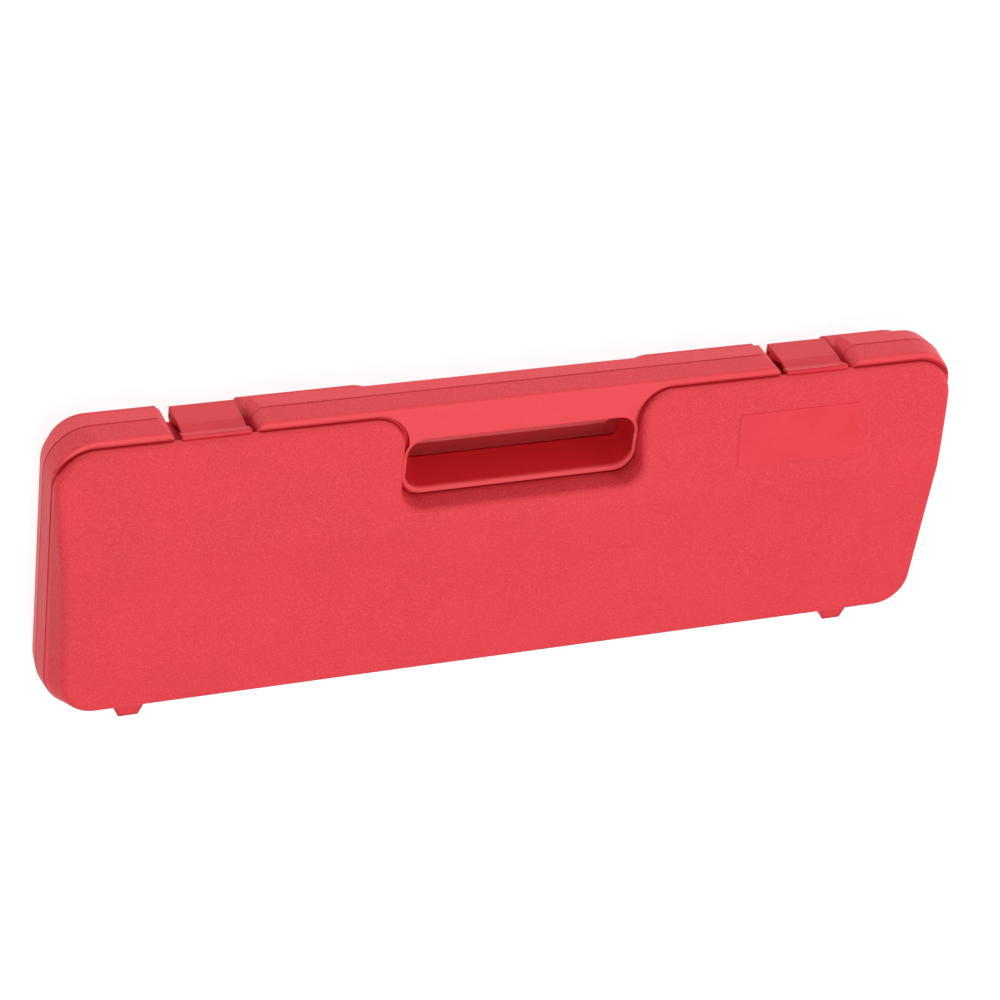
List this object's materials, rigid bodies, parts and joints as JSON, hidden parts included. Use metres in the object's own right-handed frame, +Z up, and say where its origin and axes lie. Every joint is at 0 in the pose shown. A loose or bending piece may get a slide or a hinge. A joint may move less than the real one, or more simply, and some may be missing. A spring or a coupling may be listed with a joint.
{
  "type": "melodica hard case",
  "caption": "Long moulded hard case for a melodica, opening like a book on a pinned hinge, with a grip slot through both shells and two snap latches",
  "frame": {"origin": "middle of the base's flat resting face, on the plane that the shut case lies on", "axes": "+X along the case to the right as seen from the handle side with the lid up, +Y from the handle and latches towards the hinge, +Z up out of the lid"},
  "size_m": [0.48, 0.165, 0.0511],
  "materials": {
    "shell": "blow-moulded polyethylene, fine leather grain",
    "latch": "smooth satin moulding",
    "pin": "drawn wire",
    "label": "smooth film"
  },
  "bodies": {
    "base": {"base_shell": "shell", "latch_pin_left": "pin", "latch_pin_right": "pin", "hinge_pin_left": "pin", "hinge_pin_right": "pin"},
    "lid": {"lid_shell": "shell", "label": "label"},
    "latch_l": {"latch_left": "latch"},
    "latch_r": {"latch_right": "latch"}
  },
  "joints": [
    {"name": "lid_hinge", "type": "hinge", "parent": "base", "child": "lid", "pos_m": [0, 0.081, 0.0268], "axis": [-1, 0, 0], "range_deg": [0, 100]},
    {"name": "latch_left_pivot", "type": "hinge", "parent": "base", "child": "latch_l", "pos_m": [-0.1592, -0.0708, 0.0145], "axis": [1, 0, 0], "range_deg": [0, 95]},
    {"name": "latch_right_pivot", "type": "hinge", "parent": "base", "child": "latch_r", "pos_m": [0.1592, -0.0708, 0.0145], "axis": [1, 0, 0], "range_deg": [0, 95]}
  ]
}
